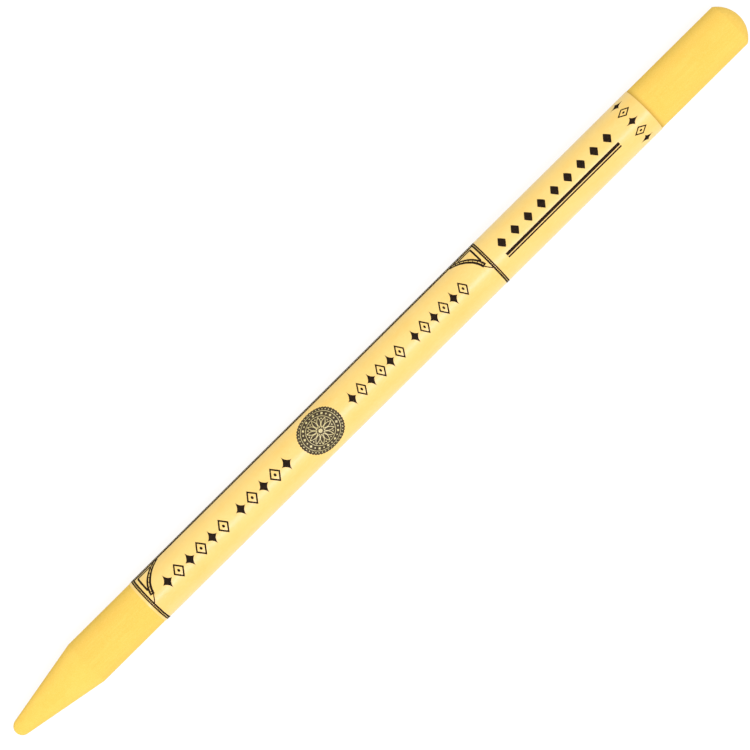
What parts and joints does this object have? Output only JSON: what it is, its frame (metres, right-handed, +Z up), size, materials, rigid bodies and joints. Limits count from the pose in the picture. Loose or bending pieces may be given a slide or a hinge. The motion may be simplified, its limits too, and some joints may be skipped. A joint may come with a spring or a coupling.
{
  "type": "woodless pastel pencil",
  "caption": "Round woodless pastel pencil: a solid yellow pastel stick with a sharpened point and a domed end, in a thin printed paper label glued along a lapped seam.",
  "frame": {"origin": "under the middle of the pencil's length, on the surface it lies on", "axes": "+X along the pencil from the point to the domed end, +Z up from the surface it lies on, +Y to the left when looking along +X"},
  "size_m": [0.1588, 0.0082, 0.0082],
  "materials": {
    "pastel": "matte",
    "label_paper": "satin",
    "label_ink": "satin",
    "label_gold_ink": "satin",
    "glue": "satin"
  },
  "bodies": {
    "root": {"pastel_stick": "pastel", "paper_label": "label_paper", "seam_glue": "glue", "anchor_glue": "glue"}
  },
  "joints": []
}
